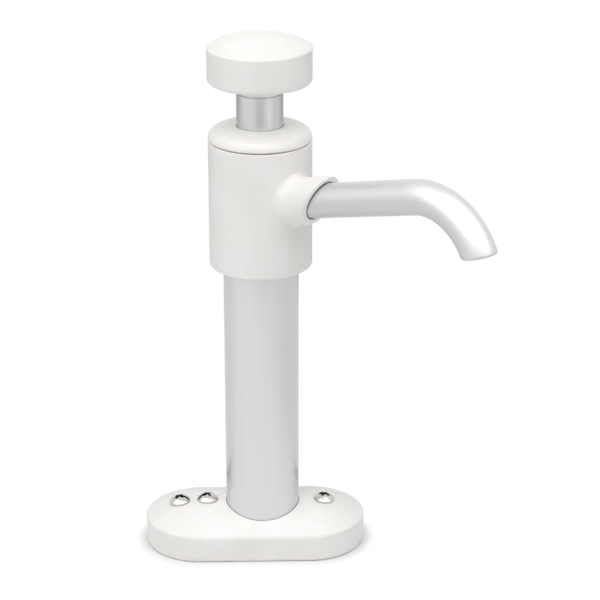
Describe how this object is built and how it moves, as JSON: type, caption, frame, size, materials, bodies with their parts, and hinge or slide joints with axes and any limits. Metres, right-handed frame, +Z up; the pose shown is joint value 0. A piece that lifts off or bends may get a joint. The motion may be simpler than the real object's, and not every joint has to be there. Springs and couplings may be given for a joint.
{
  "type": "galley hand pump",
  "caption": "White and satin aluminium galley hand pump: crowned oval base, upright cylinder, swivelling head with a bent spout, and a push-pull plunger with a round palm knob.",
  "frame": {"origin": "on the pump's axis at the underside of the base, at the mouth of the inlet socket", "axes": "+Z up along the pump's axis, -X towards the long end of the base, the camera of the picture on the -Y side"},
  "size_m": [0.1408, 0.1197, 0.2291],
  "materials": {
    "white_nylon": "satin moulded nylon",
    "satin_aluminium": "satin anodised",
    "stainless_steel": "polished",
    "natural_acetal": "turned",
    "black_nitrile": "matte",
    "brass": "turned"
  },
  "bodies": {
    "stand": {"base_flange": "white_nylon", "mounting_screws": "stainless_steel", "cylinder_tube": "satin_aluminium", "inlet_bush": "natural_acetal", "inlet_seal": "black_nitrile", "foot_valve_cage": "natural_acetal", "head_clip": "stainless_steel"},
    "foot_valve": {"foot_valve_disc": "black_nitrile"},
    "head": {"pump_head": "white_nylon", "head_seals": "black_nitrile", "gland_cap": "white_nylon", "cap_seal": "black_nitrile", "plunger_guide": "natural_acetal", "plunger_seal": "black_nitrile", "wiper_ring": "black_nitrile", "spout_tube": "satin_aluminium", "spout_seal": "black_nitrile"},
    "plunger": {"plunger_tube": "satin_aluminium", "lower_plug": "natural_acetal", "upper_plug": "natural_acetal", "knob": "white_nylon", "knob_insert": "brass", "knob_stud": "stainless_steel", "piston": "natural_acetal", "piston_ring": "black_nitrile", "valve_stop": "stainless_steel", "piston_washer": "stainless_steel", "piston_screw": "stainless_steel"},
    "piston_valve": {"piston_valve": "black_nitrile"}
  },
  "joints": [
    {"name": "head_swivel", "type": "hinge", "parent": "stand", "child": "head", "pos_m": [0, 0, 0.1485], "axis": [0, 0, 1], "continuous": true},
    {"name": "plunger_slide", "type": "slide", "parent": "head", "child": "plunger", "axis": [0, 0, 1], "range_m": [-0.0144, 0.0845]},
    {"name": "foot_valve_lift", "type": "slide", "parent": "stand", "child": "foot_valve", "axis": [0, 0, 1], "range_m": [0, 0.0035]},
    {"name": "piston_valve_lift", "type": "slide", "parent": "plunger", "child": "piston_valve", "axis": [0, 0, 1], "range_m": [0, 0.0025]}
  ]
}
